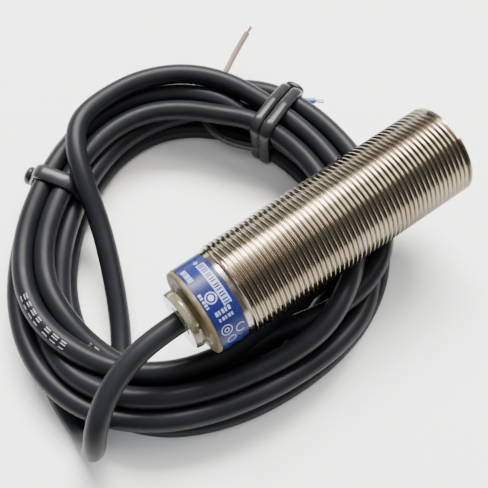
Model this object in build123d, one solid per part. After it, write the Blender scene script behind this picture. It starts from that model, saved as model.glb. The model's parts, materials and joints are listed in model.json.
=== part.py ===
"""Inductive proximity sensor, M18 x 1 threaded brass barrel, with its coiled two-wire cable.

Millimetres. The origin is the centre of the sensing face. The barrel's axis lies along X,
and the sensing face looks towards +X. The coil lies flat on a surface below the barrel.
"""

from build123d import *
import math
import os

os.makedirs("parts", exist_ok=True)

# ---------------------------------------------------------------- driving dimensions

# Barrel: M18 x 1 metric fine thread.
THREAD_R = 9.0
THREAD_PITCH = 1.0
THREAD_DEPTH = 0.61
CREST_FLAT = 0.16
ROOT_FLAT = 0.24
FIRST_CREST_X = -1.5
THREAD_TURNS = 49
FRONT_CHAMFER = 0.5
BORE_R = 7.6
BAND_SEAT_R = 8.2
THREAD_END_X = -51.0
BARREL_REAR_X = -56.6
NOTCH_WIDTH = 3.4
NOTCH_DEPTH = 1.0
NOTCH_TILT = 9.0

# Label band and rear end.
BAND_THICKNESS = 0.2
PLUG_FLANGE_R = 8.35
PLUG_FLANGE_X = -57.4
NECK_R = 4.9
NECK_X = -58.2
BOSS_R = 5.75
OVERALL_LENGTH = 60.0
SPIGOT_X = -54.0

# Cable.
CABLE_D = 4.1
CABLE_R = CABLE_D / 2
WIRE_R = 0.65
STRIPPED_X = -53.0

# Front end, from the sensing face backwards.
FACE_THICKNESS = 1.0
CAP_SKIRT_X = -6.0
CAP_INNER_R = 7.0
CORE_R = 6.8
CORE_REAR_X = -5.4
CORE_POST_R = 3.0
CORE_WELL_R = 5.7
CORE_WELL_X = -4.0
CARRIER_REAR_X = -8.0

# Board.
BOARD_FRONT_X = -6.6
BOARD_REAR_X = -44.0
BOARD_WIDTH = 12.0
BOARD_THICKNESS = 1.0
BOARD_TOP = BOARD_THICKNESS / 2
SEATING = 0.15
SLEEVE_R = 7.35

# Coil of cable, a loose ring on the surface below the sensor.
FLOOR_Z = -21.0
COIL_TOP_Z = -10.0
COIL_X = -45.6
COIL_Y = 17.1
COIL_OUTER_R = 38.3
COIL_INNER_R = 26.1
COIL_OVAL = 1.6
COIL_OVAL_ANGLE = 20.0
COIL_LOBE = 1.6
COIL_LOBE_ANGLE = -162.0
COIL_EDGE_R = 3.6

# Ties round the coil.
TIE_TOP_ANGLE = 23.5
TIE_LEFT_ANGLE = 122.0
TIE_WIDTH = 4.2
TIE_THICKNESS = 1.0


# ---------------------------------------------------------------- helpers


def rod(radius, x_front, x_rear, y=0.0, z=0.0):
    """Solid cylinder along X, from x_front back to x_rear."""
    length = x_front - x_rear
    centre = (x_front + x_rear) / 2
    return Pos(centre, y, z) * Rot(0, 90, 0) * Cylinder(radius, length)


def tube_part(outer, inner, x_front, x_rear):
    """Round sleeve along X."""
    return rod(outer, x_front, x_rear) - rod(inner, x_front + 1, x_rear - 1)


def block(x_front, x_rear, y_size, z_low, z_high, y=0.0):
    """Box between two X stations and two heights."""
    size_x = x_front - x_rear
    centre = ((x_front + x_rear) / 2, y, (z_low + z_high) / 2)
    return Pos(*centre) * Box(size_x, y_size, z_high - z_low)


def bend_radii(points):
    """Radius at each corner: as large as the two runs beside it allow."""
    radii = []
    for before, corner, after in zip(points, points[1:], points[2:]):
        run_in = Vector(corner) - Vector(before)
        run_out = Vector(after) - Vector(corner)
        half_turn = math.radians(run_in.get_angle(run_out)) / 2
        shorter = min(run_in.length, run_out.length)
        radii.append(0.45 * shorter / math.tan(half_turn))
    return radii


def flex(name, points, radius):
    """Round flexible tube: straight runs joined by tangent arcs."""
    radii = bend_radii(points)
    path = FilletPolyline(*points, radius=radii)
    start = Plane(origin=path @ 0, z_dir=path % 0)
    solid = sweep(start * Circle(radius), path=path)
    ideal = math.pi * radius**2 * path.length
    print(
        f"{name}: length {path.length:.1f} mm, radii {[round(r, 1) for r in radii]} mm,"
        f" volume over section x length {solid.volume / ideal:.4f}"
    )
    return solid


def ring_radius(base, angle):
    """The coil's outline: a circle drawn out into a soft three-cornered oval."""
    oval = COIL_OVAL * math.cos(2 * math.radians(angle - COIL_OVAL_ANGLE))
    lobe = COIL_LOBE * math.cos(3 * math.radians(angle - COIL_LOBE_ANGLE))
    return base + oval + lobe


def ring_point(base, angle, z):
    """A point on the coil's outline."""
    radius = ring_radius(base, angle)
    turn = math.radians(angle)
    return (COIL_X + radius * math.cos(turn), COIL_Y + radius * math.sin(turn), z)


def ring_face(base):
    """The flat area inside one outline of the coil."""
    corners = [ring_point(base, angle, FLOOR_Z) for angle in range(-180, 180, 20)]
    return make_face(Spline(*corners, periodic=True))


def save(name, shape):
    """Write one node."""
    shape.label = name
    export_step(shape, f"parts/{name}.step")


# ---------------------------------------------------------------- barrel


def make_barrel():
    """Brass barrel: thread as rings, a chamfered notched rim, and a smooth seat for the label."""
    root_r = THREAD_R - THREAD_DEPTH
    flank = (THREAD_PITCH - CREST_FLAT - ROOT_FLAT) / 2
    land_end = -FRONT_CHAMFER - CREST_FLAT
    profile = [(0, BORE_R), (0, THREAD_R - FRONT_CHAMFER), (-FRONT_CHAMFER, THREAD_R)]
    profile.append((land_end, THREAD_R))
    for turn in range(THREAD_TURNS):
        crest_front = FIRST_CREST_X - turn * THREAD_PITCH + CREST_FLAT / 2
        profile.append((crest_front + flank + ROOT_FLAT, root_r))
        profile.append((crest_front + flank, root_r))
        profile.append((crest_front, THREAD_R))
        profile.append((crest_front - CREST_FLAT, THREAD_R))
    profile.append((crest_front - CREST_FLAT - flank, root_r))
    profile.append((THREAD_END_X, root_r))
    profile.append((THREAD_END_X, BAND_SEAT_R))
    profile.append((BARREL_REAR_X, BAND_SEAT_R))
    profile.append((BARREL_REAR_X, BORE_R))
    outline = make_face(Polyline(*profile, close=True))
    upright = Plane(origin=(0, 0, 0), x_dir=(1, 0, 0), z_dir=(0, -1, 0))
    barrel = revolve(upright * outline, axis=Axis.X)
    notch = Box(2 * NOTCH_DEPTH, NOTCH_WIDTH, 4 * THREAD_R)
    return barrel - Rot(NOTCH_TILT, 0, 0) * notch


# ---------------------------------------------------------------- front end


def make_cap():
    """Plastic cup whose floor is the sensing face."""
    cup = rod(BORE_R, 0, CAP_SKIRT_X) - rod(CAP_INNER_R, -FACE_THICKNESS, CAP_SKIRT_X - 1)
    seal_groove = tube_part(BORE_R + 1, BORE_R - 0.35, -3.4, -4.2)
    return cup - seal_groove


def make_ferrite_core():
    """Pot core, open towards the sensing face."""
    core = rod(CORE_R, -FACE_THICKNESS, CORE_REAR_X)
    well = tube_part(CORE_WELL_R, CORE_POST_R, 0, CORE_WELL_X)
    lead_slot = block(0, CORE_REAR_X - 1, 1.2, CORE_POST_R, CORE_R + 1)
    return core - well - lead_slot


def make_bobbin():
    """Plastic spool in the pot core's well."""
    sleeve = tube_part(CORE_POST_R + 0.4, CORE_POST_R, -1.1, -3.9)
    front = tube_part(CORE_WELL_R - 0.1, CORE_POST_R, -1.1, -1.4)
    rear = tube_part(CORE_WELL_R - 0.1, CORE_POST_R, -3.6, -3.9)
    return sleeve + front + rear


def make_carrier():
    """Plastic disc behind the core, with a slot that holds the board's front edge."""
    disc = rod(CAP_INNER_R, CORE_REAR_X, CARRIER_REAR_X)
    slot = block(BOARD_FRONT_X, CARRIER_REAR_X - 1, BOARD_WIDTH, -BOARD_TOP, BOARD_TOP)
    for side in (-1, 1):
        disc -= rod(0.3, 0, CARRIER_REAR_X - 1, side * 1.6, BOARD_TOP + 0.8)
    return disc - slot


# ---------------------------------------------------------------- electronics


def on_board(length, width, height, x, y, top=True):
    """A rectangular package standing on the board's top or under side."""
    low, high = (BOARD_TOP, BOARD_TOP + height) if top else (-BOARD_TOP - height, -BOARD_TOP)
    return block(x + length / 2, x - length / 2, width, low, high, y)


def lying(radius, length, x, y):
    """A cylindrical package lying on the board's top, along X, on a narrow flat."""
    return rod(radius, x + length / 2, x - length / 2, y, BOARD_TOP + radius - SEATING)


def make_electronics():
    """The board and what is soldered to it."""
    board = block(BOARD_FRONT_X, BOARD_REAR_X, BOARD_WIDTH, -BOARD_TOP, BOARD_TOP)
    varistor = Pos(-26.5, 2.2, BOARD_TOP + 1.3) * Cylinder(3.2, 2.6)
    led_z = BOARD_TOP + 1.8 - SEATING
    led = rod(1.5, -41.8, -45.2, 0, led_z) + rod(1.8, -41.8, -42.4, 0, led_z)
    return {
        "circuit_board": board,
        "oscillator_chip": on_board(5.0, 4.0, 1.6, -12.5, 2.6),
        "timing_resistor": lying(0.9, 4.2, -12.5, -2.4) - board,
        "sense_resistor": lying(0.9, 4.2, -12.5, -4.8) - board,
        "smoothing_capacitor": lying(2.1, 7.2, -21.0, -3.0) - board,
        "zener_diode": lying(0.9, 3.6, -19.0, 2.6) - board,
        "surge_varistor": varistor,
        "bridge_rectifier": on_board(5.0, 6.2, 2.4, -34.0, 0.4),
        "status_led": led - board,
        "switching_thyristor": on_board(6.5, 6.6, 1.7, -30.0, 0, top=False),
        "decoupling_capacitor": on_board(3.2, 2.5, 1.2, -15.0, 0, top=False),
    }


def inner_lead(side):
    """Insulated conductor from the stripped cable end to its pad on the board."""
    pad_z = BOARD_TOP + WIRE_R - SEATING
    route = [
        (STRIPPED_X, side * 0.9, 0),
        (STRIPPED_X + 3.0, side * 0.95, 0.1),
        (STRIPPED_X + 6.4, side * 3.1, pad_z + 0.5),
        (STRIPPED_X + 10.4, side * 3.6, pad_z),
    ]
    return route


# ---------------------------------------------------------------- rear end


def make_rear_plug():
    """Translucent plug: a spigot in the bore, a rounded flange, and the neck of the outlet."""
    flange = rod(PLUG_FLANGE_R, BARREL_REAR_X, PLUG_FLANGE_X)
    flange = fillet(flange.edges().sort_by(Axis.X)[0], 0.35)
    plug = flange + rod(BORE_R, SPIGOT_X, BARREL_REAR_X) + rod(NECK_R, PLUG_FLANGE_X, NECK_X)
    crimp_seat = rod(CABLE_R + 0.6, SPIGOT_X + 1, SPIGOT_X - 1.8)
    return plug - rod(CABLE_R, 0, -OVERALL_LENGTH - 1) - crimp_seat


def make_boss():
    """Clear round collar that the cable leaves through."""
    boss = rod(BOSS_R, NECK_X, -OVERALL_LENGTH)
    boss = fillet(boss.edges(), 0.3)
    return boss - rod(CABLE_R, 0, -OVERALL_LENGTH - 1)


# ---------------------------------------------------------------- cable routes

# From the outlet over the coil, then down round its outside and in along the surface.
NEAR_STRAND = [
    (-OVERALL_LENGTH, 0, 0),
    (-65.4, 0, 0),
    (-71.8, -1.0, -0.5),
    (-77.6, -3.3, -1.8),
    (-81.8, -6.2, -4.6),
    (-83.8, -7.6, -9.4),
    (-84.4, -6.7, -14.2),
    (-84.0, -3.4, -17.6),
    (-80.6, 0.6, -18.9),
]

# From under the coil's near left side, across the middle, up on to its far left side.
FAR_STRAND = [
    (-73.0, 4.0, -18.8),
    (-68.4, 10.6, -18.2),
    (-64.6, 17.4, -16.5),
    (-61.6, 24.4, -14.3),
    (-59.3, 31.2, -12.4),
    (-56.8, 38.4, -11.3),
    (-53.0, 44.8, -11.5),
]

BROWN_WIRE = [
    (-22.5, 43.6, -17.2),
    (-18.2, 47.0, -16.4),
    (-13.4, 49.5, -14.4),
    (-8.6, 51.3, -12.3),
]

BLUE_WIRE = [
    (-15.0, 37.4, -17.6),
    (-9.9, 35.4, -17.8),
    (-6.2, 31.9, -17.3),
]


def bare_end(route, length):
    """Stripped copper strands at the end of a wire."""
    last, tip = Vector(route[-2]), Vector(route[-1])
    along = (tip - last).normalized()
    plane = Plane(origin=tip, z_dir=along)
    strands = extrude(plane * Circle(WIRE_R * 0.6), length)
    return strands


# ---------------------------------------------------------------- coil and ties


def make_tie(angle, spared=0.0):
    """Flat plastic tie, a closed loop round the coil, less the strands it spares inside."""
    outer = ring_radius(COIL_OUTER_R, angle) + 0.5
    inner = ring_radius(COIL_INNER_R, angle) - 0.5 + spared
    width = outer - inner
    height = COIL_TOP_Z + 0.5 - FLOOR_Z
    middle = (outer + inner) / 2
    loop = Box(width, TIE_WIDTH, height)
    loop = fillet(loop.edges().filter_by(Axis.Y), COIL_EDGE_R)
    hole = Box(width - 2 * TIE_THICKNESS, TIE_WIDTH + 2, height - 2 * TIE_THICKNESS)
    hole = fillet(hole.edges().filter_by(Axis.Y), COIL_EDGE_R - TIE_THICKNESS)
    place = Pos(COIL_X, COIL_Y, FLOOR_Z + height / 2) * Rot(0, 0, angle) * Pos(middle, 0, 0)
    return place * (loop - hole)


def make_coil():
    """The outer shape of the coiled cable."""
    height = COIL_TOP_Z - FLOOR_Z
    band = ring_face(COIL_OUTER_R) - ring_face(COIL_INNER_R)
    ring = extrude(band, height, dir=(0, 0, 1))
    rims = ring.edges().filter_by_position(Axis.Z, COIL_TOP_Z - 0.1, COIL_TOP_Z + 0.1)
    ring = fillet(rims, COIL_EDGE_R)
    feet = ring.edges().filter_by_position(Axis.Z, FLOOR_Z - 0.1, FLOOR_Z + 0.1)
    return fillet(feet, CABLE_R)


# ---------------------------------------------------------------- build every node

nodes = {
    "threaded_barrel": make_barrel(),
    "sensing_face_cap": make_cap(),
    "front_seal_ring": tube_part(BORE_R, BORE_R - 0.35, -3.4, -4.2),
    "shield_band": tube_part(CAP_INNER_R, CORE_R, -FACE_THICKNESS, CORE_REAR_X),
    "ferrite_core": make_ferrite_core(),
    "coil_bobbin": make_bobbin(),
    "coil_winding": tube_part(CORE_WELL_R - 0.2, CORE_POST_R + 0.4, -1.4, -3.6),
    "board_carrier": make_carrier(),
    "insulating_sleeve": tube_part(BORE_R, SLEEVE_R, CARRIER_REAR_X, SPIGOT_X),
    "label_band": tube_part(
        BAND_SEAT_R + BAND_THICKNESS, BAND_SEAT_R, THREAD_END_X - 0.1, BARREL_REAR_X
    ),
    "rear_plug": make_rear_plug(),
    "cable_boss": make_boss(),
    "cable_crimp_ring": tube_part(CABLE_R + 0.6, CABLE_R, SPIGOT_X, SPIGOT_X - 1.8),
    "cable_inner_end": rod(CABLE_R, STRIPPED_X, -OVERALL_LENGTH),
}
nodes.update(make_electronics())

for side, name in ((-1, "winding_lead_left"), (1, "winding_lead_right")):
    nodes[name] = rod(0.3, CORE_REAR_X, -9.6, side * 1.6, BOARD_TOP + 0.8)

for side, name in ((-1, "brown_inner_lead"), (1, "blue_inner_lead")):
    nodes[name] = flex(name, inner_lead(side), WIRE_R) - nodes["circuit_board"]

resin = rod(SLEEVE_R, CARRIER_REAR_X, SPIGOT_X)
buried = [name for name in nodes if name in make_electronics()]
buried += ["winding_lead_left", "winding_lead_right", "brown_inner_lead", "blue_inner_lead"]
buried += ["cable_inner_end"]
for name in buried:
    resin -= nodes[name]
nodes["potting_resin"] = resin

nodes["tie_top"] = make_tie(TIE_TOP_ANGLE)
nodes["tie_left"] = make_tie(TIE_LEFT_ANGLE, spared=3.2)

coil = make_coil()
nodes["cable_near_strand"] = flex("cable_near_strand", NEAR_STRAND, CABLE_R) - coil
nodes["cable_far_strand"] = flex("cable_far_strand", FAR_STRAND, CABLE_R) - coil
nodes["brown_wire"] = flex("brown_wire", BROWN_WIRE, WIRE_R) - coil
nodes["blue_wire"] = flex("blue_wire", BLUE_WIRE, WIRE_R) - coil
nodes["brown_wire_tip"] = bare_end(BROWN_WIRE, 1.6)
nodes["blue_wire_tip"] = bare_end(BLUE_WIRE, 2.2)
nodes["cable_coil"] = coil - nodes["tie_top"] - nodes["tie_left"]

for name, shape in nodes.items():
    save(name, shape)
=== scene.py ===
"""Inductive proximity sensor with its coiled cable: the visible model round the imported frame.

Metres, in the frame of the CAD model: the origin is the centre of the sensing face, the
barrel's axis is X, and +Z is up. Sizes below are in millimetres and scaled where used.
"""

import json
import math

import bmesh
import bpy
from mathutils.kdtree import KDTree
from mathutils import Matrix, Vector


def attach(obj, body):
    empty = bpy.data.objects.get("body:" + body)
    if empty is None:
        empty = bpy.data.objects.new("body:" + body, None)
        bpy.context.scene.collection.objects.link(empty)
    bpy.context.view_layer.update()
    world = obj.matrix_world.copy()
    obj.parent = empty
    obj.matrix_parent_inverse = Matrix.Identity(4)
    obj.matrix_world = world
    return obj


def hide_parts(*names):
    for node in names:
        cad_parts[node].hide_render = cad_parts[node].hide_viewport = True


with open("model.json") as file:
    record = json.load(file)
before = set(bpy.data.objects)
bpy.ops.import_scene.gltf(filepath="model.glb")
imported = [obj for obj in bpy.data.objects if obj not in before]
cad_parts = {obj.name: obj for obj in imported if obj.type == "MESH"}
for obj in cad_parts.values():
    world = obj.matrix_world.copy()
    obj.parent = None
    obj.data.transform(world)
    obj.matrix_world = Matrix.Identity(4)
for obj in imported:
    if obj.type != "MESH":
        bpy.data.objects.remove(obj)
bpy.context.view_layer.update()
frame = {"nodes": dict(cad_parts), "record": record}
MM = 0.001
UP = Vector((0, 0, 1))

# ---------------------------------------- dimensions, mm

FLOOR_Z = -21.0
CABLE_R = 2.05
THREAD_R, ROOT_R, PITCH = 9.0, 8.39, 1.0
BORE_R = 7.6
BARREL_BACK_X = -56.6

# The coil's inner edge is a circle made a little oval, and a little three-cornered.
COIL_X, COIL_Y = -45.6, 17.1
COIL_CENTRE = Vector((COIL_X, COIL_Y, 0))
COIL_INNER_R = 26.1
COIL_OVAL, COIL_OVAL_ANGLE = 1.6, 20.0
COIL_LOBE, COIL_LOBE_ANGLE = 1.6, -162.0

# Where the strands lie in the coil's section: distance from its inner edge, and height.
IN, MID, OUT = 2.1, 6.1, 10.1
LOW, SECOND, TOP = -18.95, -15.35, -11.75
INNERMOST, OUTERMOST = -0.2, OUT + 0.3

# Stations stand every STEP degrees. A spline runs inside its control points by INSIDE.
STEP = 15
INSIDE = math.cos(math.radians(STEP / 2))
TIE_TOP_ANGLE, TIE_LEFT_ANGLE = 23.5, 122.0
TIE_LIFT, TIE_REACH = 0.75, 14

# The room a strand takes, from centre to centre.
ROOM = 4.13
# What three control points in a row weigh, at four places along their piece of the spline.
SPLINE_WEIGHTS = [
    ((1 - t) ** 2 / 2, (1 + 2 * t - 2 * t * t) / 2, t * t / 2) for t in (0, 0.25, 0.5, 0.75)
]

NEAR_STRAND = [
    (-60, 0, 0),
    (-65.4, 0, 0),
    (-71.8, -1.0, -0.5),
    (-77.6, -3.3, -1.8),
    (-81.8, -6.2, -4.6),
    (-83.8, -7.6, -9.4),
    (-84.4, -6.7, -14.2),
    (-84.2, -3.4, -17.6),
    (-84.3, 0.6, -18.9),
    (-84.4, 6.8, -18.95),
]
FAR_STRAND = [
    (-73.0, 4.0, -18.8),
    (-68.4, 10.6, -18.2),
    (-64.6, 17.4, -16.5),
    (-61.6, 24.4, -14.3),
    (-59.3, 31.2, -12.2),
    (-57.9, 38.4, -8.0),
    (-55.6, 45.0, -6.7),
    (-51.8, 49.8, -6.8),
]

# One row a turn: the strand's place at some angles, running clockwise, -X being 180.
TURNS_BEFORE = [
    {180: (10.5, LOW), 150: (OUT, LOW), -120: (OUT, LOW), -165: (6.4, LOW)},
    {165: (MID, LOW), -120: (MID, LOW), -165: (2.3, LOW)},
    {165: (1.2, LOW), 150: (1.4, LOW), 90: (IN, LOW), -135: (IN, LOW)},
]
TURNS_AFTER = [
    {90: (7.9, -7.2), 75: (7.9, -7.6), 60: (7.4, -8.2), 45: (6.1, -9.2), 30: (4.9, -10.2),
     15: (4.5, -11.2), 0: (4.9, TOP), -45: (6.0, TOP), -75: (7.0, TOP), -105: (5.9, TOP),
     -135: (5.1, TOP), -165: (5.9, -12.2)},
    {180: (8.0, -13.2), 165: (6.6, -14.8), 135: (MID, SECOND), 75: (MID, SECOND),
     45: (8.2, -14.0), 30: (9.6, -12.6), 15: (OUT, TOP), 0: (OUT, TOP), -45: (9.3, -12.6),
     -90: (1.8, SECOND), -135: (1.6, SECOND), -165: (0.6, -15.0)},
    {180: (1.8, -12.8), 165: (4.8, TOP), 150: (6.9, TOP), 135: (6.5, TOP), 120: (5.4, TOP),
     90: (3.4, TOP), 45: (2.0, TOP), 15: (0.7, TOP), 0: (0.9, TOP), -45: (1.6, TOP),
     -90: (1.6, TOP), -120: (0.6, TOP), -150: (0.1, TOP), -165: (1.8, TOP)},
    {180: (5.4, TOP), 165: (9.0, TOP), 150: (11.4, TOP), 135: (10.8, TOP), 90: (7.2, TOP),
     60: (5.2, -12.2), 30: (2.6, -14.2), 0: (IN, SECOND), -30: (2.6, SECOND),
     -60: (4.4, SECOND), -90: (4.6, SECOND), -135: (4.8, SECOND), -165: (3.6, -16.4)},
    {180: (0.8, -15.2), 165: (1.4, -12.6), 150: (2.3, -12.2), 135: (2.2, -13.2),
     120: (IN, -14.2), 105: (IN, SECOND), 75: (2.6, SECOND), 30: (MID, SECOND),
     -30: (7.4, SECOND), -60: (9.6, -13.6), -90: (9.9, -12.6), -120: (9.3, -12.4),
     -150: (9.9, -13.0), -165: (OUT, -13.6)},
    {180: (OUT, -14.4), 165: (OUT, SECOND), 60: (OUT, SECOND)},
]


def inner_edge(angle):
    """Distance of the coil's inner edge from its centre."""
    oval = COIL_OVAL * math.cos(2 * math.radians(angle - COIL_OVAL_ANGLE))
    lobe = COIL_LOBE * math.cos(3 * math.radians(angle - COIL_LOBE_ANGLE))
    return COIL_INNER_R + oval + lobe


def turn_stations(turns, first_angle, last_angle):
    """[angle, depth, height] every STEP degrees, clockwise, between the places given."""
    keys = {}
    for row, places in enumerate(turns):
        for angle, place in places.items():
            keys[angle - 360 * row] = place
    stations = []
    for angle in range(first_angle, last_angle - 1, -STEP):
        behind = min((key for key in keys if key >= angle), default=max(keys))
        ahead = max((key for key in keys if key <= angle), default=min(keys))
        share = 0.0 if behind == ahead else (behind - angle) / (behind - ahead)
        place = [a + (b - a) * share for a, b in zip(keys[behind], keys[ahead])]
        stations.append([angle, *place])
    return stations


def at_tie(angle):
    """From 0 to 1: how close a section is to one of the ties."""
    return max(
        math.exp(-(((angle - tie + 180) % 360 - 180) / TIE_REACH) ** 2)
        for tie in (TIE_TOP_ANGLE, TIE_LEFT_ANGLE)
    )


TINY = 0.01
# How strongly a strand is drawn to its own place, to its neighbours' line, and into a tie.
HOLD, SMOOTHING, TIE_PULL = 0.2, 0.1, 0.03


def push_apart(places):
    """Moves the strands that cross one section apart until they only touch."""
    for index, one in enumerate(places):
        for other in places[index + 1:]:
            across = other[1] - one[1]
            up = other[2] - one[2]
            apart = math.hypot(across, up) or TINY
            push = CABLE_R - apart / 2
            if push > 0:
                one[1] -= push * across / apart
                one[2] -= push * up / apart
                other[1] += push * across / apart
                other[2] += push * up / apart


def settle(strands, rounds=120):
    """Relaxes the coil: smooth strands, near their places, each with its own room.

    A tie pulls them together and lifts them by its own thickness.
    """
    aims = [[tuple(station[1:]) for station in strand] for strand in strands]
    sections = {}
    for strand in strands:
        for station in strand:
            sections.setdefault(station[0] % 360, []).append(station)
    for turn in range(rounds):
        hold = HOLD * (1 - turn / rounds)
        for strand, aim in zip(strands, aims):
            for here, (depth, height) in zip(strand, aim):
                here[1] += hold * (depth - here[1])
                here[2] += hold * (height - here[2])
            for before, here, after in zip(strand, strand[1:], strand[2:]):
                here[1] += SMOOTHING * ((before[1] + after[1]) / 2 - here[1])
                here[2] += SMOOTHING * ((before[2] + after[2]) / 2 - here[2])
        for angle, places in sections.items():
            tied = at_tie(angle)
            middle = sum(place[1] for place in places) / len(places)
            for place in places:
                place[1] += TIE_PULL * tied * (middle - place[1])
            push_apart(places)
            for place in places:
                place[1] = min(max(place[1], INNERMOST), OUTERMOST)
                place[2] = max(place[2], LOW + TIE_LIFT * tied)


def coil_points(stations):
    """Control points of a stretch of coil. The spline runs inside them by a little."""
    points = []
    for angle, depth, height in stations:
        turn = math.radians(angle)
        radius = (inner_edge(angle) + depth) / INSIDE
        points.append(
            (COIL_X + radius * math.cos(turn), COIL_Y + radius * math.sin(turn), height)
        )
    return points


# Samples nearer than this along the cable are one stretch, and don't push each other.
SAME_STRETCH = 10
# How strongly strands and the barrel push, and where along x the barrel does.
STRAND_PUSH, BARREL_PUSH = 0.35, 0.6
BARREL_REACH = (-58, 2)
EASE_MARGIN = 0.2
END_POINTS_HELD = 4


def sampled(points):
    """Places along the spline: [(index of the middle control point, weights, place)]."""
    samples = []
    for index in range(1, len(points) - 1):
        for weights in SPLINE_WEIGHTS:
            parts = (points[index + i - 1] * w for i, w in enumerate(weights))
            samples.append((index, weights, sum(parts, Vector())))
    return samples


def push_on(number, place, tree):
    """How far one sample should move to be clear of the other strands and the barrel."""
    push = Vector()
    for other, found, apart in tree.find_range(place, ROOM):
        if abs(found - number) >= SAME_STRETCH and apart > 0:
            push += (place - other) * (STRAND_PUSH * (ROOM - apart) / apart)
    clear = math.hypot(place.y, place.z)
    needed = THREAD_R + ROOM / 2
    if BARREL_REACH[0] < place.x < BARREL_REACH[1] and clear < needed:
        push += Vector((0, place.y, place.z)) * (BARREL_PUSH * (needed - clear) / clear)
    return push


def kept_in_coil(point):
    """The point moved inside the coil's outline and above the floor, if it was outside."""
    angle = math.degrees(math.atan2(point.y - COIL_Y, point.x - COIL_X))
    reach = math.hypot(point.x - COIL_X, point.y - COIL_Y)
    most = (inner_edge(angle) + OUT + EASE_MARGIN) / INSIDE
    if reach > most:
        point.x = COIL_X + (point.x - COIL_X) * most / reach
        point.y = COIL_Y + (point.y - COIL_Y) * most / reach
    point.z = max(point.z, LOW + TIE_LIFT * at_tie(angle))
    return point


def ease(points, rounds=80):
    """Parts stretches of the cable that press into each other or into the barrel.

    The near strand and the cable's last few control points stay where they are.
    """
    points = [Vector(point) for point in points]
    for _ in range(rounds):
        samples = sampled(points)
        tree = KDTree(len(samples))
        for number, sample in enumerate(samples):
            tree.insert(sample[2], number)
        tree.balance()
        moves = [Vector() for _ in points]
        for number, (index, weights, place) in enumerate(samples):
            push = push_on(number, place, tree)
            for i, w in enumerate(weights):
                moves[index + i - 1] += push * w
        for index in range(len(NEAR_STRAND), len(points) - END_POINTS_HELD):
            spread = moves[index - 1] * 0.25 + moves[index] * 0.5 + moves[index + 1] * 0.25
            points[index] = kept_in_coil(points[index] + spread)
    return [tuple(point) for point in points]


def placed(name, data):
    """New object of this mesh, curve, light or camera, in the scene."""
    obj = bpy.data.objects.new(name, data)
    bpy.context.collection.objects.link(obj)
    return obj


def spline_curve(name, points, radius):
    """Round cord on a NURBS spline whose control points are given, in mm."""
    data = bpy.data.curves.new(name, "CURVE")
    data.dimensions = "3D"
    spline = data.splines.new("NURBS")
    spline.points.add(len(points) - 1)
    for point, place in zip(spline.points, points):
        point.co = (*[value * MM for value in place], 1.0)
    spline.order_u = 3
    spline.use_endpoint_u = True
    data.resolution_u = 6
    data.bevel_depth = radius * MM
    data.bevel_resolution = 6
    data.use_fill_caps = True
    return placed(name, data)


# ---------------------------------------- the cable's route


def centreline(points):
    """Points along the spline that these control points make, in mm."""
    curve = spline_curve("route", points, 0)
    curve.data.use_fill_caps = False
    bpy.context.view_layer.update()
    mesh = bpy.data.meshes.new_from_object(
        curve.evaluated_get(bpy.context.evaluated_depsgraph_get())
    )
    line = [vertex.co / MM for vertex in mesh.vertices]
    bpy.data.meshes.remove(mesh)
    bpy.data.curves.remove(curve.data)
    return line


lower = turn_stations(TURNS_BEFORE, 180, -360 * 2 - 135)
upper = turn_stations(TURNS_AFTER, 90, -360 * 5 + 60)
settle([lower, upper])
CABLE_POINTS = ease(NEAR_STRAND + coil_points(lower[1:]) + FAR_STRAND + coil_points(upper))
ROUTE = centreline(CABLE_POINTS)

# ---------------------------------------- materials

# Sockets of a colour mix node, which share their names with those for other kinds of value.
MIX_A, MIX_B, MIX_RESULT = 6, 7, 2


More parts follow.
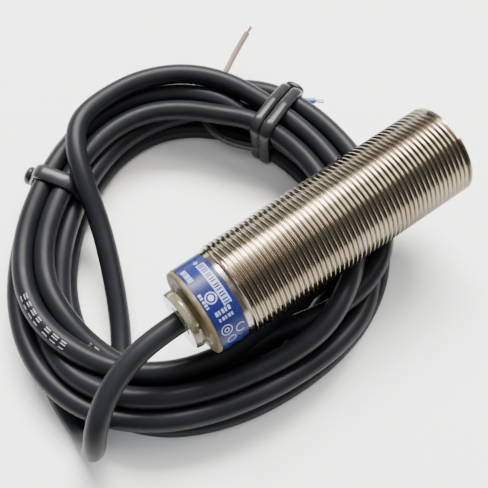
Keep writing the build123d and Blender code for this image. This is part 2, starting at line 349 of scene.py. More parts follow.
class Look:
    """A node material with short names for its parts."""

    def __init__(self, name, colour, roughness, **sockets):
        self.material = bpy.data.materials.new(name)
        self.material.use_nodes = True
        self.nodes = self.material.node_tree.nodes
        self.links = self.material.node_tree.links
        self.shader = self.nodes["Principled BSDF"]
        self.shader.inputs["Base Color"].default_value = (*colour, 1)
        self.shader.inputs["Roughness"].default_value = roughness
        for socket, value in sockets.items():
            self.shader.inputs[socket.replace("_", " ")].default_value = value
        self.place = self.nodes.new("ShaderNodeTexCoord").outputs["Object"]
        self.bump_chain = None

    def node(self, kind, **settings):
        made = self.nodes.new(kind)
        for key, value in settings.items():
            if key in made.inputs:
                made.inputs[key].default_value = value
            else:
                setattr(made, key, value)
        return made

    def noise(self, scale, detail=3.0, stretch=(1, 1, 1)):
        """Noise in object space, scale in cells per metre."""
        mapping = self.node("ShaderNodeMapping")
        mapping.inputs["Scale"].default_value = stretch
        self.links.new(self.place, mapping.inputs["Vector"])
        made = self.node("ShaderNodeTexNoise", Scale=scale, Detail=detail)
        self.links.new(mapping.outputs["Vector"], made.inputs["Vector"])
        return made.outputs["Fac"]

    def ramp(self, value, stops):
        """Values or colours along a ramp: [(position, colour), ...]."""
        made = self.node("ShaderNodeValToRGB")
        while len(made.color_ramp.elements) < len(stops):
            made.color_ramp.elements.new(0.5)
        for element, (position, colour) in zip(made.color_ramp.elements, stops):
            if not isinstance(colour, tuple):
                colour = (colour, colour, colour)
            element.position = position
            element.color = (*colour, 1)
        self.links.new(value, made.inputs["Fac"])
        return made.outputs["Color"]

    def tint(self, value, stops):
        """Base colour from a ramp."""
        self.links.new(self.ramp(value, stops), self.shader.inputs["Base Color"])

    def rough(self, value, low, high):
        """Roughness between two limits."""
        made = self.node("ShaderNodeMapRange")
        made.inputs["To Min"].default_value = low
        made.inputs["To Max"].default_value = high
        self.links.new(value, made.inputs["Value"])
        self.links.new(made.outputs["Result"], self.shader.inputs["Roughness"])

    def bump(self, value, depth, strength=0.5):
        """Relief, depth in millimetres. Calls add up."""
        made = self.node("ShaderNodeBump", Strength=strength, Distance=depth * MM)
        self.links.new(value, made.inputs["Height"])
        if self.bump_chain:
            self.links.new(self.bump_chain, made.inputs["Normal"])
        self.bump_chain = made.outputs["Normal"]
        self.links.new(self.bump_chain, self.shader.inputs["Normal"])


def plain_look(name, colour, roughness, grain=2500, variety=0.25, relief=0.01, **sockets):
    """Moulded or coated surface: fine grain, uneven colour and gloss."""
    look = Look(name, colour, roughness, **sockets)
    broad = look.noise(220, 4)
    fine = look.noise(grain, 2)
    low = tuple(channel * (1 - variety) for channel in colour)
    high = tuple(min(channel * (1 + variety), 1) for channel in colour)
    look.tint(broad, [(0.3, low), (0.7, high)])
    look.rough(broad, roughness * 0.85, min(roughness * 1.15, 1))
    look.bump(fine, relief)
    return look.material


def nickel_look():
    """Nickel plate over turned brass: warm, bright, with fine turning lines."""
    look = Look("nickel_plate", (0.52, 0.45, 0.37), 0.24, Metallic=1.0)
    broad = look.noise(90, 5)
    turned = look.noise(1400, 4, stretch=(3.0, 0.25, 0.25))
    grime = look.noise(700, 6)
    look.tint(broad, [(0.25, (0.20, 0.166, 0.122)), (0.55, (0.245, 0.208, 0.157)),
                      (0.8, (0.31, 0.27, 0.21))])
    look.rough(grime, 0.13, 0.27)
    look.bump(turned, 0.012, 0.5)
    return look.material


def cable_look():
    """Satin black PVC, finely grained, with a little dust."""
    look = Look("cable_black", (0.006, 0.006, 0.007), 0.36, Specular_IOR_Level=0.12)
    fine = look.noise(3800, 3)
    broad = look.noise(140, 3)
    specks = look.node("ShaderNodeTexVoronoi", Scale=900.0)
    look.links.new(look.place, specks.inputs["Vector"])
    dust = look.ramp(specks.outputs["Distance"], [(0.0, 1.0), (0.07, 0.0)])
    where = look.ramp(look.noise(120, 2), [(0.55, 0.0), (0.7, 1.0)])
    both = look.node("ShaderNodeMath", operation="MULTIPLY")
    look.links.new(dust, both.inputs[0])
    look.links.new(where, both.inputs[1])
    base = look.ramp(broad, [(0.3, (0.0065, 0.007, 0.009)), (0.7, (0.010, 0.0105, 0.0135))])
    mix = look.node("ShaderNodeMix", data_type="RGBA")
    look.links.new(both.outputs[0], mix.inputs["Factor"])
    look.links.new(base, mix.inputs[MIX_A])
    mix.inputs[MIX_B].default_value = (0.45, 0.45, 0.44, 1)
    look.links.new(mix.outputs[MIX_RESULT], look.shader.inputs["Base Color"])
    look.rough(look.noise(500, 3), 0.34, 0.50)
    look.bump(fine, 0.012, 0.35)
    return look.material


def label_look():
    """Royal-blue printed film under a clear gloss coat."""
    look = Look("blue_label", (0.02, 0.025, 0.17), 0.3, Specular_IOR_Level=0.15)
    broad = look.noise(160, 3)
    look.tint(broad, [(0.3, (0.006, 0.0085, 0.062)), (0.7, (0.012, 0.016, 0.105))])
    look.rough(look.noise(900, 4), 0.22, 0.36)
    look.bump(look.noise(420, 2), 0.03, 0.25)
    return look.material


def plug_look():
    """Cloudy amber resin."""
    look = Look(
        "amber_plug", (0.24, 0.20, 0.11), 0.3, Transmission_Weight=0.06, IOR=1.5,
        Subsurface_Weight=0.08, Specular_IOR_Level=0.08,
    )
    look.shader.inputs["Subsurface Radius"].default_value = (0.002, 0.0014, 0.0006)
    cloudy = look.noise(380, 4)
    look.tint(cloudy, [(0.25, (0.085, 0.06, 0.022)), (0.5, (0.14, 0.115, 0.058)),
                       (0.75, (0.20, 0.18, 0.115))])
    look.rough(look.noise(900, 3), 0.34, 0.55)
    look.bump(look.noise(700, 3), 0.03, 0.35)
    return look.material


def clear_look():
    """Clear plastic with a faint yellow cast."""
    look = Look(
        "clear_boss", (0.5, 0.48, 0.36), 0.08, Transmission_Weight=0.62, IOR=1.49,
        Coat_Weight=0.4, Coat_Roughness=0.05,
    )
    look.tint(look.noise(300, 3), [(0.3, (0.19, 0.165, 0.085)), (0.7, (0.42, 0.39, 0.27))])
    look.rough(look.noise(600, 3), 0.05, 0.16)
    look.bump(look.noise(520, 2), 0.03, 0.3)
    return look.material


def drawn_look(name, colour):
    """Drawn metal: copper, or steel with a grey colour."""
    look = Look(name, colour, 0.3, Metallic=1.0)
    drawn = look.noise(2000, 3, stretch=(0.2, 1, 1))
    dark = tuple(channel * 0.7 for channel in colour)
    look.tint(look.noise(300, 3), [(0.3, dark), (0.7, colour)])
    look.rough(drawn, 0.2, 0.4)
    look.bump(drawn, 0.01, 0.3)
    return look.material


BLACK = (0.014, 0.014, 0.016)
LOOKS = {
    "nickel_plate": nickel_look(),
    "cable_black": cable_look(),
    "blue_label": label_look(),
    "amber_plug": plug_look(),
    "clear_boss": clear_look(),
    "copper_strands": drawn_look("copper_strands", (0.70, 0.50, 0.36)),
    "copper_shield": drawn_look("copper_shield", (0.72, 0.40, 0.26)),
    "enamelled_copper": drawn_look("enamelled_copper", (0.55, 0.20, 0.07)),
    "crimp_steel": drawn_look("crimp_steel", (0.6, 0.6, 0.6)),
    "black_plastic": plain_look("black_plastic", (0.018, 0.018, 0.02), 0.5, relief=0.02,
                                Specular_IOR_Level=0.3),
    "black_rubber": plain_look("black_rubber", BLACK, 0.7),
    "ferrite": plain_look("ferrite", (0.05, 0.048, 0.048), 0.75, relief=0.02),
    "white_plastic": plain_look("white_plastic", (0.78, 0.77, 0.72), 0.45, variety=0.05),
    "grey_sleeve": plain_look("grey_sleeve", (0.4, 0.4, 0.42), 0.5),
    "label_print": plain_look("label_print", (0.24, 0.275, 0.45), 0.4, variety=0.08),
    "cable_print": plain_look("cable_print", (0.20, 0.205, 0.22), 0.5, grain=5000, variety=0.5),
    "board_green": plain_look("board_green", (0.02, 0.16, 0.07), 0.4),
    "chip_black": plain_look("chip_black", (0.02, 0.02, 0.02), 0.55, relief=0.02),
    "resistor_tan": plain_look("resistor_tan", (0.55, 0.42, 0.26), 0.3),
    "capacitor_sleeve": plain_look("capacitor_sleeve", (0.04, 0.06, 0.14), 0.3),
    "diode_glass": plain_look("diode_glass", (0.6, 0.25, 0.12), 0.1, Transmission_Weight=0.5),
    "varistor_blue": plain_look("varistor_blue", (0.04, 0.13, 0.42), 0.3),
    "led_red": plain_look("led_red", (0.5, 0.03, 0.02), 0.12, Transmission_Weight=0.4),
    "ceramic_tan": plain_look("ceramic_tan", (0.5, 0.36, 0.22), 0.6),
    "potting_resin": plain_look("potting_resin", (0.08, 0.07, 0.06), 0.3),
    "tie_black": plain_look("tie_black", BLACK, 0.32, grain=1500, relief=0.03,
                            Specular_IOR_Level=0.22),
    "wire_brown": plain_look("wire_brown", (0.235, 0.165, 0.135), 0.42, variety=0.12),
    "wire_blue": plain_look("wire_blue", (0.05, 0.16, 0.38), 0.4, variety=0.12),
}


def wear(obj, look):
    """Gives a piece one of the materials, in place of any it has."""
    obj.data.materials.clear()
    obj.data.materials.append(LOOKS[look])


def dress_cad_nodes():
    """Every CAD node that stays takes the detailed material of its slot."""
    slots = {part["node"]: part["material_slot"] for part in frame["record"]["subparts"]}
    for name, obj in frame["nodes"].items():
        for holder in obj.material_slots:
            holder.material = LOOKS[slots[name]]


# ---------------------------------------- mesh helpers


def around(x, radius, turn):
    """Point at a distance from the barrel's axis, turned round it."""
    return (x, radius * math.cos(turn), radius * math.sin(turn))


def piece(name, mesh, slot_name, look=None, replaces=()):
    """Puts a finished mesh in the scene as a piece of the object."""
    obj = placed(name, mesh)
    wear(obj, look or slot_name)
    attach(obj, "root")
    if replaces:
        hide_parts(*replaces)
    return obj


def mesh_from(name, vertices, faces, smooth_angle):
    """Mesh from points in mm, shaded smooth below an angle."""
    mesh = bpy.data.meshes.new(name)
    mesh.from_pydata([tuple(value * MM for value in vertex) for vertex in vertices], [], faces)
    work = bmesh.new()
    work.from_mesh(mesh)
    bmesh.ops.remove_doubles(work, verts=work.verts, dist=2e-7)
    bmesh.ops.dissolve_degenerate(work, edges=work.edges, dist=1e-7)
    bmesh.ops.recalc_face_normals(work, faces=work.faces)
    for face in work.faces:
        face.smooth = True
    work.to_mesh(mesh)
    work.free()
    mesh.set_sharp_from_angle(angle=math.radians(smooth_angle))
    return mesh


def hoop_faces(count, size):
    """Faces of a closed hoop: count sections, each a closed loop of size points."""
    faces = []
    for section in range(count):
        after = (section + 1) % count
        for corner in range(size):
            beside = (corner + 1) % size
            faces.append((section * size + corner, section * size + beside,
                          after * size + beside, after * size + corner))
    return faces


def lathe(name, profile, smooth_angle):
    """Closed solid of revolution about X from a closed loop of (x, radius)."""
    vertices = []
    segments = 96
    for index in range(segments):
        turn = 2 * math.pi * index / segments
        vertices += [around(x, radius, turn) for x, radius in profile]
    return mesh_from(name, vertices, hoop_faces(segments, len(profile)), smooth_angle)


def rounded(corner, before, after, radius):
    """Points of a small arc that rounds one corner of a profile."""
    corner, before, after = Vector(corner), Vector(before), Vector(after)
    start = corner + (before - corner).normalized() * radius
    end = corner + (after - corner).normalized() * radius
    return [
        tuple(start.lerp(corner, share).lerp(corner.lerp(end, share), share))
        for share in (0, 0.25, 0.5, 0.75, 1)
    ]


def round_profile(profile, radii):
    """Profile with its corners rounded; a radius of 0 keeps a corner."""
    points = []
    count = len(profile)
    for index, corner in enumerate(profile):
        if radii[index]:
            points += rounded(
                corner, profile[index - 1], profile[(index + 1) % count], radii[index]
            )
        else:
            points.append(corner)
    return points


# ---------------------------------------- barrel

SEGMENTS = 128
SHARP_ANGLE = 28
SEAT_R = 8.2
FRONT_RING_X, REAR_RING_X = -0.62, -51.0
# Distances behind the face over which the thread starts, and over which it fades out.
LEAD_IN, RUN_OUT = (0.62, 1.15), (49.6, 50.2)
# Turns of the helix, enough to pass both rings. What is past them is drawn in to them.
FIRST_TURN, LAST_TURN = -2, 52
NOTCH_WIDTH, NOTCH_DEPTH, NOTCH_TILT = 3.4, 1.0, 9.0
# One pitch of the thread: share of the pitch, and radius.
THREAD_PROFILE = [
    (0.00, THREAD_R), (0.14, THREAD_R), (0.20, THREAD_R - 0.05), (0.44, ROOT_R + 0.05),
    (0.50, ROOT_R), (0.66, ROOT_R), (0.72, ROOT_R + 0.05), (0.94, THREAD_R - 0.05),
]


def smooth_share(value, low, high):
    """0 below low, 1 above high, smooth between."""
    share = min(max((value - low) / (high - low), 0), 1)
    return share * share * (3 - 2 * share)


def thread_strip():
    """Right-hand helical thread: rows follow the helix, and fade out at both ends."""
    vertices, faces = [], []
    rows = [
        (-(turn + share) * PITCH, radius)
        for turn in range(FIRST_TURN, LAST_TURN + 1) for share, radius in THREAD_PROFILE
    ]
    for start, radius in rows:
        for index in range(SEGMENTS + 1):
            turn = 2 * math.pi * index / SEGMENTS
            x = start + PITCH * index / SEGMENTS
            here = THREAD_R - (THREAD_R - radius) * smooth_share(-x, *LEAD_IN)
            here = here - (here - ROOT_R) * smooth_share(-x, *RUN_OUT)
            x = min(max(x, REAR_RING_X), FRONT_RING_X)
            vertices.append(around(x, here, turn))
    width = SEGMENTS + 1
    for row in range(len(rows) - 1):
        for index in range(SEGMENTS):
            one = row * width + index
            faces.append((one, one + width, one + width + 1, one + 1))
    return vertices, faces


def make_barrel():
    """Barrel: helical thread, chamfered rim with two notches, seat for the label."""
    vertices, faces = thread_strip()
    shell = [
        (FRONT_RING_X, THREAD_R), (-0.5, THREAD_R), (-0.44, THREAD_R - 0.04),
        (-0.05, 8.55), (0.0, 8.47), (0.0, 7.66), (-0.06, BORE_R), (BARREL_BACK_X, BORE_R),
        (BARREL_BACK_X, SEAT_R), (REAR_RING_X, SEAT_R), (REAR_RING_X, ROOT_R),
    ]
    base = len(vertices)
    width = SEGMENTS + 1
    for x, radius in shell:
        for index in range(width):
            vertices.append(around(x, radius, 2 * math.pi * index / SEGMENTS))
    for row in range(len(shell) - 1):
        for index in range(SEGMENTS):
            one = base + row * width + index
            faces.append((one, one + 1, one + width + 1, one + width))
    barrel = piece("barrel", mesh_from("barrel", vertices, faces, SHARP_ANGLE), "nickel_plate")
    work = bmesh.new()
    bmesh.ops.create_cube(work, size=MM)
    size = Matrix.Diagonal((2 * NOTCH_DEPTH, NOTCH_WIDTH, 40, 1))
    tilt = Matrix.Rotation(math.radians(NOTCH_TILT), 4, "X")
    bmesh.ops.transform(work, matrix=tilt @ size, verts=work.verts)
    cutter_mesh = bpy.data.meshes.new("notch_cutter")
    work.to_mesh(cutter_mesh)
    work.free()
    cutter = placed("notch_cutter", cutter_mesh)
    cut = barrel.modifiers.new("notches", "BOOLEAN")
    cut.operation, cut.solver, cut.object = "DIFFERENCE", "EXACT", cutter
    bpy.context.view_layer.update()
    ready = barrel.evaluated_get(bpy.context.evaluated_depsgraph_get())
    mesh = bpy.data.meshes.new_from_object(ready)
    barrel.modifiers.clear()
    barrel.data = mesh
    mesh.set_sharp_from_angle(angle=math.radians(SHARP_ANGLE))
    bpy.data.objects.remove(cutter)
    wear(barrel, "nickel_plate")
    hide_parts("threaded_barrel")


# ---------------------------------------- front and rear ends


def make_front():
    """Sensing face: flush plastic cup with a shallow moulded ring and a gate mark."""
    profile = [
        (-0.03, 0.0), (-0.03, 0.7), (0.0, 0.85), (0.0, 5.7), (-0.08, 5.8), (-0.08, 6.1),
        (0.0, 6.2), (0.0, 7.45), (-0.05, 7.56), (-0.2, 7.6), (-3.4, 7.6), (-3.4, 7.25),
        (-4.2, 7.25), (-4.2, 7.6), (-6.0, 7.6), (-6.0, 7.0), (-1.0, 7.0), (-1.0, 0.0),
    ]
    piece("sensing_face", lathe("sensing_face", profile, 25), "black_plastic",
          replaces=["sensing_face_cap"])


def make_plug():
    """Amber plug: rounded flange with a moulded step, and the neck of the outlet."""
    corners = [
        (-54.0, 7.6), (-56.6, 7.6), (-56.6, 8.35), (-57.4, 8.3), (-57.4, 6.4), (-57.2, 6.1),
        (-57.2, 5.2), (-57.35, 4.9), (-58.2, 4.6), (-58.2, 2.05), (-55.8, 2.05),
        (-55.8, 2.65), (-54.0, 2.65),
    ]
    radii = [0, 0, 0.15, 0.4, 0.12, 0.1, 0.1, 0.1, 0, 0, 0, 0, 0]
    mesh = lathe("plug", round_profile(corners, radii), 40)
    piece("plug", mesh, "amber_plug", replaces=["rear_plug"])


def make_boss():
    """Clear collar round the cable, with a soft rim and a dished rear face."""
    corners = [(-58.2, 2.05), (-58.2, 5.6), (-58.9, 5.75), (-60.0, 5.55), (-59.85, 2.9),
               (-60.0, 2.6), (-60.0, 2.05)]
    radii = [0, 0.25, 0.2, 0.35, 0.3, 0.1, 0]
    mesh = lathe("boss", round_profile(corners, radii), 40)
    piece("boss", mesh, "clear_boss", replaces=["cable_boss"])


# ---------------------------------------- label

LABEL_R, PRINT_HEIGHT = 8.41, 0.02


def slab_faces(width, count):
    """Faces of a closed thin slab: a grid of points, count rows of width, and one above it."""
    faces = []
    layer = width * count
    for row in range(count - 1):
        for column in range(width - 1):
            one = row * width + column
            faces.append((one, one + 1, one + width + 1, one + width))
            top = one + layer
            faces.append((top, top + width, top + width + 1, top + 1))
    rim = list(range(width))
    rim += [row * width + width - 1 for row in range(1, count)]
    rim += [(count - 1) * width + column for column in range(width - 2, -1, -1)]
    rim += [row * width for row in range(count - 2, 0, -1)]
    for one, two in zip(rim, rim[1:] + rim[:1]):
        faces.append((one, two, two + layer, one + layer))
    return faces


def wrapped(rows):
    """Thin raised patch on the label from rows of (x, angle in degrees)."""
    vertices = []
    for level in (LABEL_R, LABEL_R + PRINT_HEIGHT):
        for row in rows:
            vertices += [around(x, level, math.radians(angle)) for x, angle in row]
    return vertices, slab_faces(len(rows[0]), len(rows))


def patch(x_low, x_high, angle_low, angle_high):
    """Rectangle on the label."""
    steps = max(2, int(abs(angle_high - angle_low) / 2) + 1)
    angles = [angle_low + (angle_high - angle_low) * i / steps for i in range(steps + 1)]
    return wrapped([[(x, angle) for angle in angles] for x in (x_low, x_high)])


def ring_patch(x, angle, outer, inner, first=0, last=360):
    """Ring, or part of one, on the label. Radii in mm."""
    steps = 36
    degrees = math.degrees(1 / LABEL_R)
    rows = []
    for radius in (outer, inner):
        row = []
        for step in range(steps + 1):
            turn = math.radians(first + (last - first) * step / steps)
            row.append((x + radius * math.cos(turn), angle + radius * math.sin(turn) * degrees))
        rows.append(row)
    return wrapped(rows)


# The panel's bars between its two rails: lengths in degrees, and the gap between two.
PANEL_RAILS = ((-53.35, -53.1), (-52.05, -51.8))
PANEL_START, PANEL_END, PANEL_GAP = 60.0, 121.5, 1.8
PANEL_BARS = (2.2, 1.2, 2.8, 1.6, 3.2, 1.2, 2.4, 1.6, 3.6, 1.2, 2.0, 2.8, 1.6, 3.0, 2.0, 1.3)
# Rings: x, angle, outer and inner radius, and the angles of one that isn't closed.
RINGS = (
    (-52.9, 54.0, 0.42, 0.0),
    (-54.6, 105.5, 1.08, 0.84),
    (-54.6, 105.5, 0.55, 0.0),
    (-54.9, 150.0, 1.1, 0.92),
    (-54.9, 150.0, 0.5, 0.32),
    (-52.4, 158.0, 1.0, 0.82, 60, 330),
    (-54.6, 168.5, 0.9, 0.74),
)
# Rows round the label: x from and to, first angle, spacing, and the bars' lengths.
ROWS_ROUND = (
    (-56.15, -55.15, 54.5, 4.0, (3.0, 2.2, 3.4, 2.6, 3.0, 1.8)),
    (-56.3, -55.75, 95.0, 4.5, (3.2, 2.4, 3.2, 2.8, 1.6)),
)
# Rows along the label: angle from and to, first x, spacing, and the bars' lengths.
ROWS_ALONG = (
    (122.6, 128.2, -55.5, 0.62, (0.45, 0.3, 0.42, 0.36, 0.45)),
    (131.8, 136.0, -55.4, 0.6, (0.3, 0.42, 0.3, 0.42, 0.34)),
)
# Two rows on the side that the photograph doesn't show.
BACK_START, BACK_SPACING = 196, 8
BACK_BARS = (5, 3, 6, 4, 5, 3, 5, 6)


def make_label_print():
    """Generic marks in place of printing: a barred panel, rings, and rows of bars."""
    shapes = [patch(low, high, PANEL_START, PANEL_END) for low, high in PANEL_RAILS]
    start = PANEL_START
    for length in PANEL_BARS:
        shapes.append(patch(PANEL_RAILS[0][1], PANEL_RAILS[1][0], start, start + length))
        start += length + PANEL_GAP
    shapes += [ring_patch(*ring) for ring in RINGS]
    for low, high, first, spacing, lengths in ROWS_ROUND:
        for index, length in enumerate(lengths):
            start = first + index * spacing
            shapes.append(patch(low, high, start, start + length))
    for low, high, first, spacing, lengths in ROWS_ALONG:
        for index, length in enumerate(lengths):
            start = first + index * spacing
            shapes.append(patch(start, start + length, low, high))
    for index, length in enumerate(BACK_BARS):
        start = BACK_START + index * BACK_SPACING
        shapes.append(patch(-53.2, -52.4, start, start + length))
        shapes.append(patch(-55.4, -54.6, start + 2, start + length + 1))
    piece("label_print", joined("label_print", shapes), "blue_label", look="label_print")


# ---------------------------------------- ties


def section_axes(angle):
    """Directions of one radial section of the coil: outwards, and along the cable."""
    turn = math.radians(angle)
    out = Vector((math.cos(turn), math.sin(turn), 0))
    return out, UP.cross(out)


def furthest(places, facing):
    """The strand that stands out most in a direction, and that direction, in the section."""
    normal = (math.cos(math.radians(facing)), math.sin(math.radians(facing)))
    return max(places, key=lambda place: place[0] * normal[0] + place[1] * normal[1]), normal


def strands_at(angle, below):
    """Where the cable crosses one section, as (radius, height), if lower than a height."""
    out, along = section_axes(angle)
    places = []
    sides = [(point - COIL_CENTRE).dot(along) for point in ROUTE]
    for one, two, side, next_side in zip(ROUTE, ROUTE[1:], sides, sides[1:]):
        if side * next_side < 0:
            here = one.lerp(two, side / (side - next_side))
            radius = (here - COIL_CENTRE).dot(out)
            if radius > 0 and here.z < below:
                places.append((radius, here.z))
    return places


# A ribbon's section: the height where its side turns into its back, and how flat the back is.
EDGE, FLATNESS = 0.25, 0.7


def wrap_ribbon(places, angle, width, thickness, shift, lean):
    """Flat ribbon drawn tight round the strands of one section, moved along and leaning."""
    out, along = section_axes(angle)
    profile = [(0.3 * width, 0.0), (0.48 * width, 0.12)]
    for step in range(9):
        rise = math.pi * step / 8
        height = EDGE + (thickness - EDGE) * math.sin(rise) ** FLATNESS
        profile.append((width / 2 * math.cos(rise), height))
    profile += [(-0.48 * width, 0.12), (-0.3 * width, 0.0)]
    vertices = []
    loop = [furthest(places, facing) for facing in range(0, 360, 3)]
    for far, normal in loop:
        for across, up in profile:
            reach = CABLE_R + up
            radius = far[0] + normal[0] * reach
            height = far[1] + normal[1] * reach
            slide = across + shift + lean * normal[1]
            spot = COIL_CENTRE + out * radius + along * slide
            vertices.append((spot.x, spot.y, max(height, FLOOR_Z)))
    return vertices, hoop_faces(len(loop), len(profile))


KNOT_POWER = 0.9  # 1 makes an ellipsoid, less makes it squarer


def knot(places, angle, facing, size):
    """Rounded lump where the tie's ends meet, on the outside of the wrap."""
    out, along = section_axes(angle)
    far, normal = furthest(places, facing)
    reach = CABLE_R + size[2] / 2
    middle = COIL_CENTRE + out * (far[0] + normal[0] * reach)
    middle.z = far[1] + normal[1] * reach
    outward = out * normal[0] + Vector((0, 0, normal[1]))
    sideways = outward.cross(along)
    work = bmesh.new()
    bmesh.ops.create_icosphere(work, subdivisions=3, radius=1)
    for vertex in work.verts:
        local = [math.copysign(abs(value) ** KNOT_POWER, value) / 2 for value in vertex.co]
        vertex.co = middle + along * (local[0] * size[0])
        vertex.co += sideways * (local[1] * size[1]) + outward * (local[2] * size[2])
    work.verts.index_update()
    vertices = [tuple(vertex.co) for vertex in work.verts]
    faces = [tuple(vertex.index for vertex in face.verts) for face in work.faces]
    work.free()
    return vertices, faces


RIBBON_TAPER = 0.35


def ribbon_along(path, width, thickness):
    """Rounded strip along a path, standing on edge, thinner at its far end."""
    corners = 16
    vertices, faces = [], []
    for index, point in enumerate(path):
        before, after = path[max(index - 1, 0)], path[min(index + 1, len(path) - 1)]
        side = (after - before).cross(UP).normalized()
        share = 1 - RIBBON_TAPER * index / (len(path) - 1)
        for corner in range(corners):
            turn = 2 * math.pi * corner / corners
            across = side * (thickness / 2 * math.cos(turn) * share)
            vertices.append(tuple(point + across + Vector((0, 0, width / 2 * math.sin(turn)))))
    for index in range(len(path) - 1):
        for corner in range(corners):
            one, two = index * corners + corner, index * corners + (corner + 1) % corners
            faces.append((one, one + corners, two + corners, two))
    last = len(vertices) - corners
    faces.append(tuple(range(corners)))
    faces.append(tuple(range(last + corners - 1, last - 1, -1)))
    return vertices, faces


def joined(name, shapes, smooth_angle=30):
    """One mesh from several closed shapes."""
    vertices, faces = [], []
    for shape_vertices, shape_faces in shapes:
        base = len(vertices)
        vertices += shape_vertices
        faces += [tuple(index + base for index in face) for face in shape_faces]
    return mesh_from(name, vertices, faces, smooth_angle)


def smooth_path(points):
    """Points along a soft curve through a few places."""
    places = [Vector(point) for point in points]
    steps = 6
    path = []
    for index in range(len(places) - 1):
        before = places[max(index - 1, 0)]
        one, two = places[index], places[index + 1]
        after = places[min(index + 2, len(places) - 1)]
        for step in range(steps):
            t = step / steps
            path.append(
                0.5 * (2 * one + (two - before) * t
                       + (2 * before - 5 * one + 4 * two - after) * t * t
                       + (3 * one - before - 3 * two + after) * t ** 3)
            )
    return path + [places[-1]]


def make_ties():
    """Two glossy black ties: a double wrap with a loose tail, and a single wrap."""
    at_top = strands_at(TIE_TOP_ANGLE, 0)
    tail = smooth_path([
        (-19.6, 26.8, -15.6), (-22.3, 27.5, -15.4), (-25.3, 30.4, -15.2),
        (-27.3, 33.4, -15.1), (-28.2, 36.6, -15.1), (-28.4, 39.4, -15.3),
    ])
    shapes = [
        wrap_ribbon(at_top, TIE_TOP_ANGLE, width=2.2, thickness=1.0, shift=1.15, lean=0.25),
        wrap_ribbon(at_top, TIE_TOP_ANGLE, width=2.5, thickness=1.15, shift=-1.05, lean=-0.1),
        knot(at_top, TIE_TOP_ANGLE, facing=8, size=(4.4, 3.2, 2.0)),
        ribbon_along(tail, width=2.6, thickness=1.9),
    ]
    piece("top_tie", joined("top_tie", shapes), "tie_black", replaces=["tie_top"])
    # The far strand passes over the left tie, which doesn't hold it.
    at_left = strands_at(TIE_LEFT_ANGLE, -10.35)
    shapes = [
        wrap_ribbon(at_left, TIE_LEFT_ANGLE, width=3.3, thickness=1.0, shift=0.0, lean=0.5),
        knot(at_left, TIE_LEFT_ANGLE, facing=14, size=(3.6, 4.8, 2.2)),
    ]
    piece("left_tie", joined("left_tie", shapes), "tie_black", replaces=["tie_left"])


# ---------------------------------------- wires and cable marks

WIRE_R = 0.65
BROWN_ROUTE = [
    (-27.6, 50.4, -15.3), (-24.6, 48.6, -15.6), (-21.4, 46.9, -16.2), (-18.2, 47.0, -16.4),
    (-13.4, 49.5, -14.4), (-8.6, 51.3, -12.3),
]
BLUE_ROUTE = [
    (-27.4, 49.4, -15.3), (-23.6, 48.0, -15.6), (-18.0, 45.2, -16.7), (-13.4, 39.9, -17.9),
    (-10.5, 36.2, -18.0), (-7.4, 33.0, -17.7), (-4.9, 30.9, -17.3),
]
# Copper strands: radius, distance of six from the middle one, how far back they start,
# twist in degrees, and how much they spread at the tip.
STRAND_R, STRAND_RING, STRAND_ROOT = 0.125, 0.27, 0.4
STRAND_TWIST, STRAND_SPREAD = 150, 0.5


def strand_bundle(start, aim, length, droop):
    """Seven twisted copper strands that spread a little at the tip."""
    side = aim.cross(UP).normalized()
    up = side.cross(aim)
    shapes = []
    for strand in range(7):
        radius = 0.0 if strand == 0 else STRAND_RING
        vertices, faces = [], []
        steps = 10
        for step in range(steps + 1):
            share = step / steps
            turn = math.radians(60 * strand + STRAND_TWIST * share)
            spread = radius * (1 + STRAND_SPREAD * share * share)
            centre = start + aim * (length * share - STRAND_ROOT * (1 - share))
            centre += (side * math.cos(turn) + up * math.sin(turn)) * spread
            centre.z -= droop * share * share
            for corner in range(6):
                angle = math.radians(60 * corner)
                corner_at = (side * math.cos(angle) + up * math.sin(angle)) * STRAND_R
                vertices.append(tuple(centre + corner_at))
        for step in range(steps):
            for corner in range(6):
                one, two = step * 6 + corner, step * 6 + (corner + 1) % 6
                faces.append((one, two, two + 6, one + 6))
        faces.append(tuple(range(6)))
        faces.append(tuple(range(steps * 6 + 5, steps * 6 - 1, -1)))
        shapes.append((vertices, faces))
    return shapes


def make_wires():
    """Brown and blue cores out of the cable's end, stripped at their tips."""
    for name, route, length, droop in (
        ("brown", BROWN_ROUTE, 1.6, 0.1), ("blue", BLUE_ROUTE, 1.9, 0.5)
    ):
        core = spline_curve(name + "_core", route, WIRE_R)
        wear(core, "wire_" + name)
        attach(core, "root")
        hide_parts(name + "_wire")
        end, before = Vector(route[-1]), Vector(route[-2])
        aim = (end - before).normalized()
        shapes = strand_bundle(end, aim, length, droop)
        piece(name + "_strands", joined(name + "_strands", shapes, 60), "copper_strands",
              replaces=[name + "_wire_tip"])


MARKS = [
    ((-79.5, 21.0, -11.7), (1.2, 1.1, 1.2, 1.0)),
    ((-77.7, 13.2, -11.7), (1.2, 1.3, 1.1)),
    ((-74.6, 8.0, -11.7), (0.4, 1.0, 1.6)),
]
# Gap in mm, height in degrees of the cable's skin, and where each row of a group starts.
MARK_GAP, MARK_HEIGHT, MARK_ROWS = 0.7, 6, (-21, 1, 14)
MARK_SUNK, MARK_RAISED, MARK_STEP = 0.02, 0.022, 0.35
MARKS_FACE = Vector((-0.3, -0.3, 0.9))


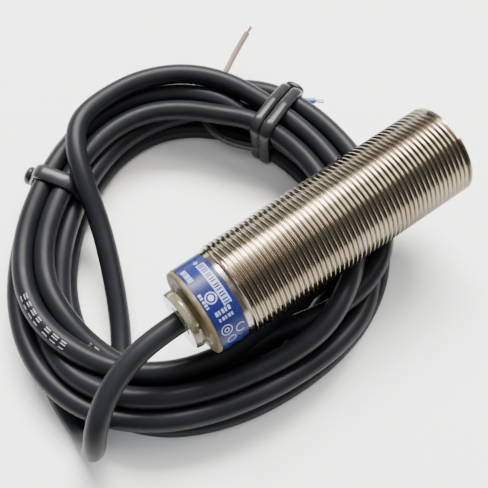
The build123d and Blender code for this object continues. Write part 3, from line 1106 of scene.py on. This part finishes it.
def cable_patch(first, last, low, high):
    """Thin patch on the cable's skin: a stretch of the route, and angles across it."""
    rows = []
    count = max(2, int((last - first) / MARK_STEP))
    for step in range(count + 1):
        spot, run = route_at(first + (last - first) * step / count)
        face = (MARKS_FACE - run * MARKS_FACE.dot(run)).normalized()
        side = run.cross(face)
        rows.append((spot, face, side))
    vertices = []
    across = 4
    for reach in (CABLE_R - MARK_SUNK, CABLE_R + MARK_RAISED):
        for spot, face, side in rows:
            for index in range(across + 1):
                angle = math.radians(low + (high - low) * index / across)
                vertices.append(
                    tuple(spot + (face * math.cos(angle) + side * math.sin(angle)) * reach)
                )
    return vertices, slab_faces(across + 1, count + 1)


def route_at(distance):
    """Place and direction on the cable, a distance from its exit in mm."""
    gone = 0.0
    for one, two in zip(ROUTE, ROUTE[1:]):
        step = (two - one).length
        if gone + step >= distance:
            return one.lerp(two, (distance - gone) / step), (two - one).normalized()
        gone += step
    return ROUTE[-1], (ROUTE[-1] - ROUTE[-2]).normalized()


def nearest_on_route(place):
    """Distance from the exit of the cable's point nearest a place."""
    place, gone, best = Vector(place), 0.0, (1e9, 0.0)
    for one, two in zip(ROUTE, ROUTE[1:]):
        best = min(best, ((one - place).length, gone))
        gone += (two - one).length
    return best[1]


def make_cable():
    """The cable, from the boss round the coil to its bare end."""
    cable = spline_curve("cable", CABLE_POINTS, CABLE_R)
    wear(cable, "cable_black")
    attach(cable, "root")
    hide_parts("cable_near_strand", "cable_far_strand", "cable_coil")
    return cable


def make_cable_marks():
    """Generic pale dashes where the cable carries a print."""
    shapes = []
    for place, lengths in MARKS:
        at = nearest_on_route(place) + (sum(lengths) + MARK_GAP * (len(lengths) - 1)) / 2
        for length in lengths:
            for low in MARK_ROWS:
                shapes.append(cable_patch(at - length, at, low, low + MARK_HEIGHT))
            at -= length + MARK_GAP
    piece("cable_marks", joined("cable_marks", shapes), "cable_black", look="cable_print")


# ---------------------------------------- floor, light, camera


def make_floor():
    """Plain pale floor at the coil's foot."""
    mesh = bpy.data.meshes.new("floor")
    half, height = 1.5, FLOOR_Z * MM
    corners = [(-half, -half), (half, -half), (half, half), (-half, half)]
    mesh.from_pydata([(x, y, height) for x, y in corners], [], [(0, 1, 2, 3)])
    floor = placed("floor", mesh)
    material = bpy.data.materials.new("floor")
    material.use_nodes = True
    shader = material.node_tree.nodes["Principled BSDF"]
    shader.inputs["Base Color"].default_value = (0.96, 0.96, 0.96, 1)
    shader.inputs["Roughness"].default_value = 0.9
    mesh.materials.append(material)


LIT = Vector((-40, 10, -10))


def set_up(name, data, place, aim):
    """Puts a light or a camera at a place in mm, looking along a direction."""
    obj = placed(name, data)
    obj.location = Vector(place) * MM
    obj.rotation_mode = "QUATERNION"
    obj.rotation_quaternion = aim.to_track_quat("-Z", "Y")
    return obj


def area_light(name, place, size, power, colour):
    """Oblong soft light that looks at the part. Places in mm, power in watts."""
    data = bpy.data.lights.new(name, "AREA")
    data.shape = "RECTANGLE"
    data.size, data.size_y = size[0] * MM, size[1] * MM
    data.energy = power
    data.color = colour
    set_up(name, data, place, (LIT - Vector(place)).normalized())


CAMERA_AT = (-81.65, -49.5, 148.3)
CAMERA_AZIMUTH = -35.61
CAMERA_ELEVATION = 65.44
CAMERA_LENS = 66.39


def make_camera():
    """Camera at the photograph's viewing angle."""
    data = bpy.data.cameras.new("camera")
    data.sensor_width = 36.0
    data.lens = CAMERA_LENS
    data.clip_start, data.clip_end = 0.005, 10
    azimuth, elevation = math.radians(CAMERA_AZIMUTH), math.radians(CAMERA_ELEVATION)
    level = math.cos(elevation)
    aim = Vector((-math.sin(azimuth) * level, math.cos(azimuth) * level, -math.sin(elevation)))
    bpy.context.scene.camera = set_up("camera", data, CAMERA_AT, aim)


def make_lights():
    """Studio light: a pale room, a bright strip, and dimmer panels above, behind and in front."""
    world = bpy.data.worlds.new("studio")
    world.use_nodes = True
    room = world.node_tree.nodes["Background"].inputs
    room["Color"].default_value = (0.86, 0.92, 1.0, 1)
    room["Strength"].default_value = 0.42
    bpy.context.scene.world = world
    area_light("strip", (480, 670, 1100), (1120, 400), 90, (1.0, 0.98, 0.95))
    area_light("ceiling", (480, 150, 1100), (1120, 420), 13, (1.0, 0.95, 0.86))
    area_light("wall", (300, 1650, 420), (3000, 900), 3.4, (0.96, 0.97, 1.0))
    area_light("front", (-330, -330, 1000), (900, 900), 2.6, (1.0, 0.99, 0.97))


dress_cad_nodes()
make_barrel()
make_front()
make_plug()
make_boss()
make_label_print()
make_ties()
cable = make_cable()
make_wires()
make_cable_marks()
make_floor()
make_camera()
make_lights()
